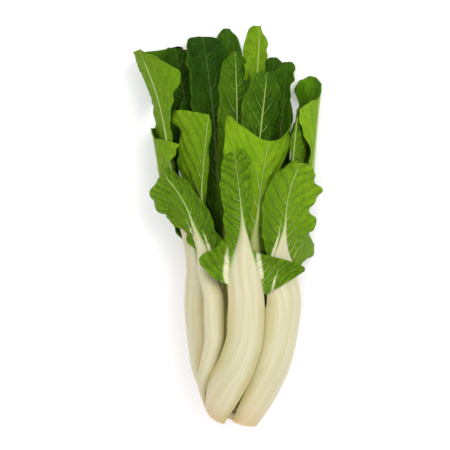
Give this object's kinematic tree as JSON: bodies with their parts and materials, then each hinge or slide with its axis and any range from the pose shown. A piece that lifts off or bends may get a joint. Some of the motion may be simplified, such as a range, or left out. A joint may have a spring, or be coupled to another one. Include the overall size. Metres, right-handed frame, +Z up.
{
  "type": "bok choy",
  "caption": "Head of bok choy lying on its back: white stalks in whorls round a short cut stem, each running up the back of a green, waved leaf blade.",
  "frame": {"origin": "on the surface that the head lies on, under the middle of its outline seen from above", "axes": "+Y runs along the head from the cut butt to the leaf tips, +Z is up, and +X is to the right of someone who looks down with the butt towards them"},
  "size_m": [0.1652, 0.347, 0.0887],
  "materials": {
    "white_stalk": "satin",
    "green_blade": "satin",
    "cut_stem": "matte"
  },
  "bodies": {
    "root": {"crown": "cut_stem", "stalk_front_centre": "white_stalk", "blade_front_centre": "green_blade", "stalk_front_right": "white_stalk", "blade_front_right": "green_blade", "stalk_front_left": "white_stalk", "blade_front_left": "green_blade", "stalk_left": "white_stalk", "blade_left": "green_blade", "stalk_low_left": "white_stalk", "blade_low_left": "green_blade", "stalk_back_left": "white_stalk", "blade_back_left": "green_blade", "stalk_back_right": "white_stalk", "blade_back_right": "green_blade", "stalk_right": "white_stalk", "blade_right": "green_blade", "stalk_second_front": "white_stalk", "blade_second_front": "green_blade", "stalk_second_left": "white_stalk", "blade_second_left": "green_blade", "stalk_second_low_left": "white_stalk", "blade_second_low_left": "green_blade", "stalk_second_back": "white_stalk", "blade_second_back": "green_blade", "stalk_second_back_right": "white_stalk", "blade_second_back_right": "green_blade", "stalk_second_low_right": "white_stalk", "blade_second_low_right": "green_blade", "stalk_heart_front": "white_stalk", "blade_heart_front": "green_blade", "stalk_heart_left": "white_stalk", "blade_heart_left": "green_blade", "stalk_heart_back": "white_stalk", "blade_heart_back": "green_blade", "stalk_heart_right": "white_stalk", "blade_heart_right": "green_blade"}
  },
  "joints": []
}
